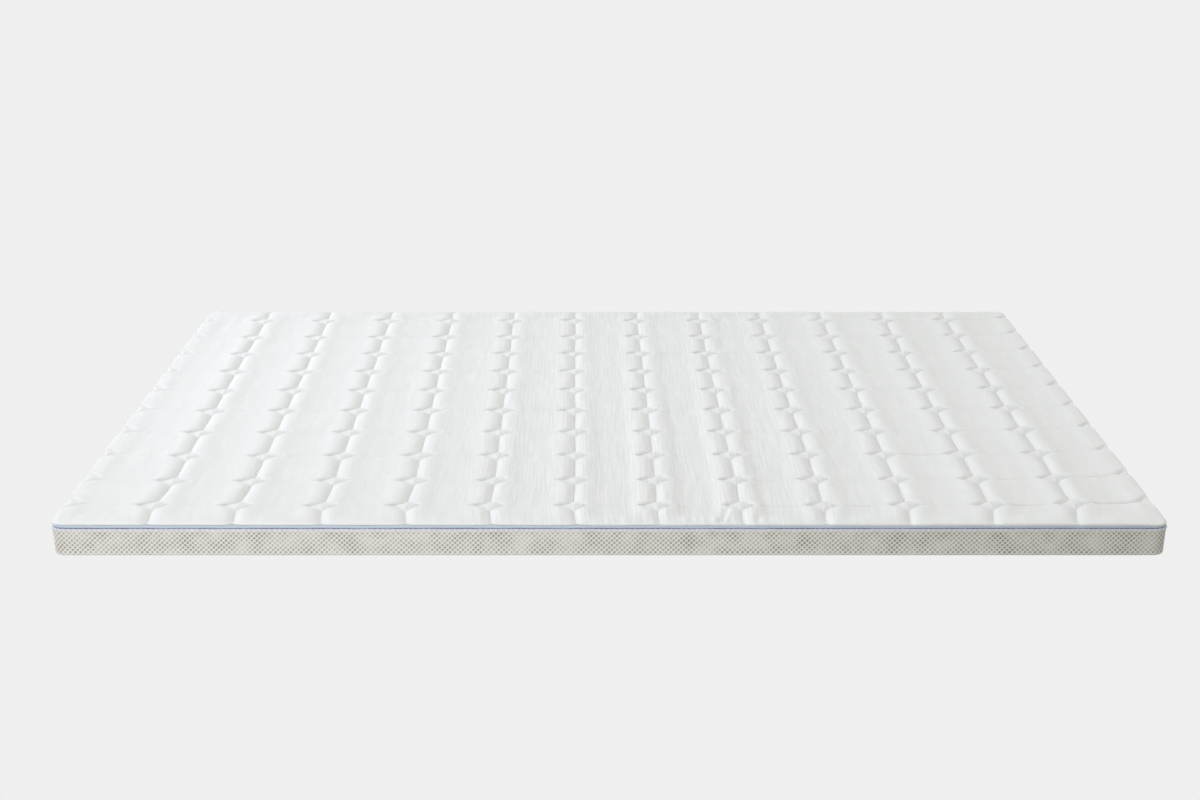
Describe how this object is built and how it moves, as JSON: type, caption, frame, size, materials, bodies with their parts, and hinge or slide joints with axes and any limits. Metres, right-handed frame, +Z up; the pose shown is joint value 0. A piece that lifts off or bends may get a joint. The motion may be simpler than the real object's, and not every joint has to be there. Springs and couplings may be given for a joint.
{
  "type": "mattress cover on a thin mattress",
  "caption": "Flat quilted cover fitted on a thin mattress: white padded top with small diamonds, pale blue piping and a beige spacer mesh border.",
  "frame": {"origin": "middle of the underside, on the surface that the mattress lies on", "axes": "+X along the long side, +Y along the short side away from the front, +Z up"},
  "size_m": [2, 1.6, 0.0635],
  "materials": {
    "white_knit": "quilted jacquard knit over wadding, matte",
    "blue_piping": "corded satin binding, soft sheen",
    "spacer_mesh": "knitted mesh of white threads over a beige ground, matte",
    "base_cloth": "plain knit, matte",
    "foam": "cut foam, matte"
  },
  "bodies": {
    "root": {"quilted_top": "white_knit", "piping": "blue_piping", "mesh_border": "spacer_mesh", "base_panel": "base_cloth", "mattress": "foam"}
  },
  "joints": []
}
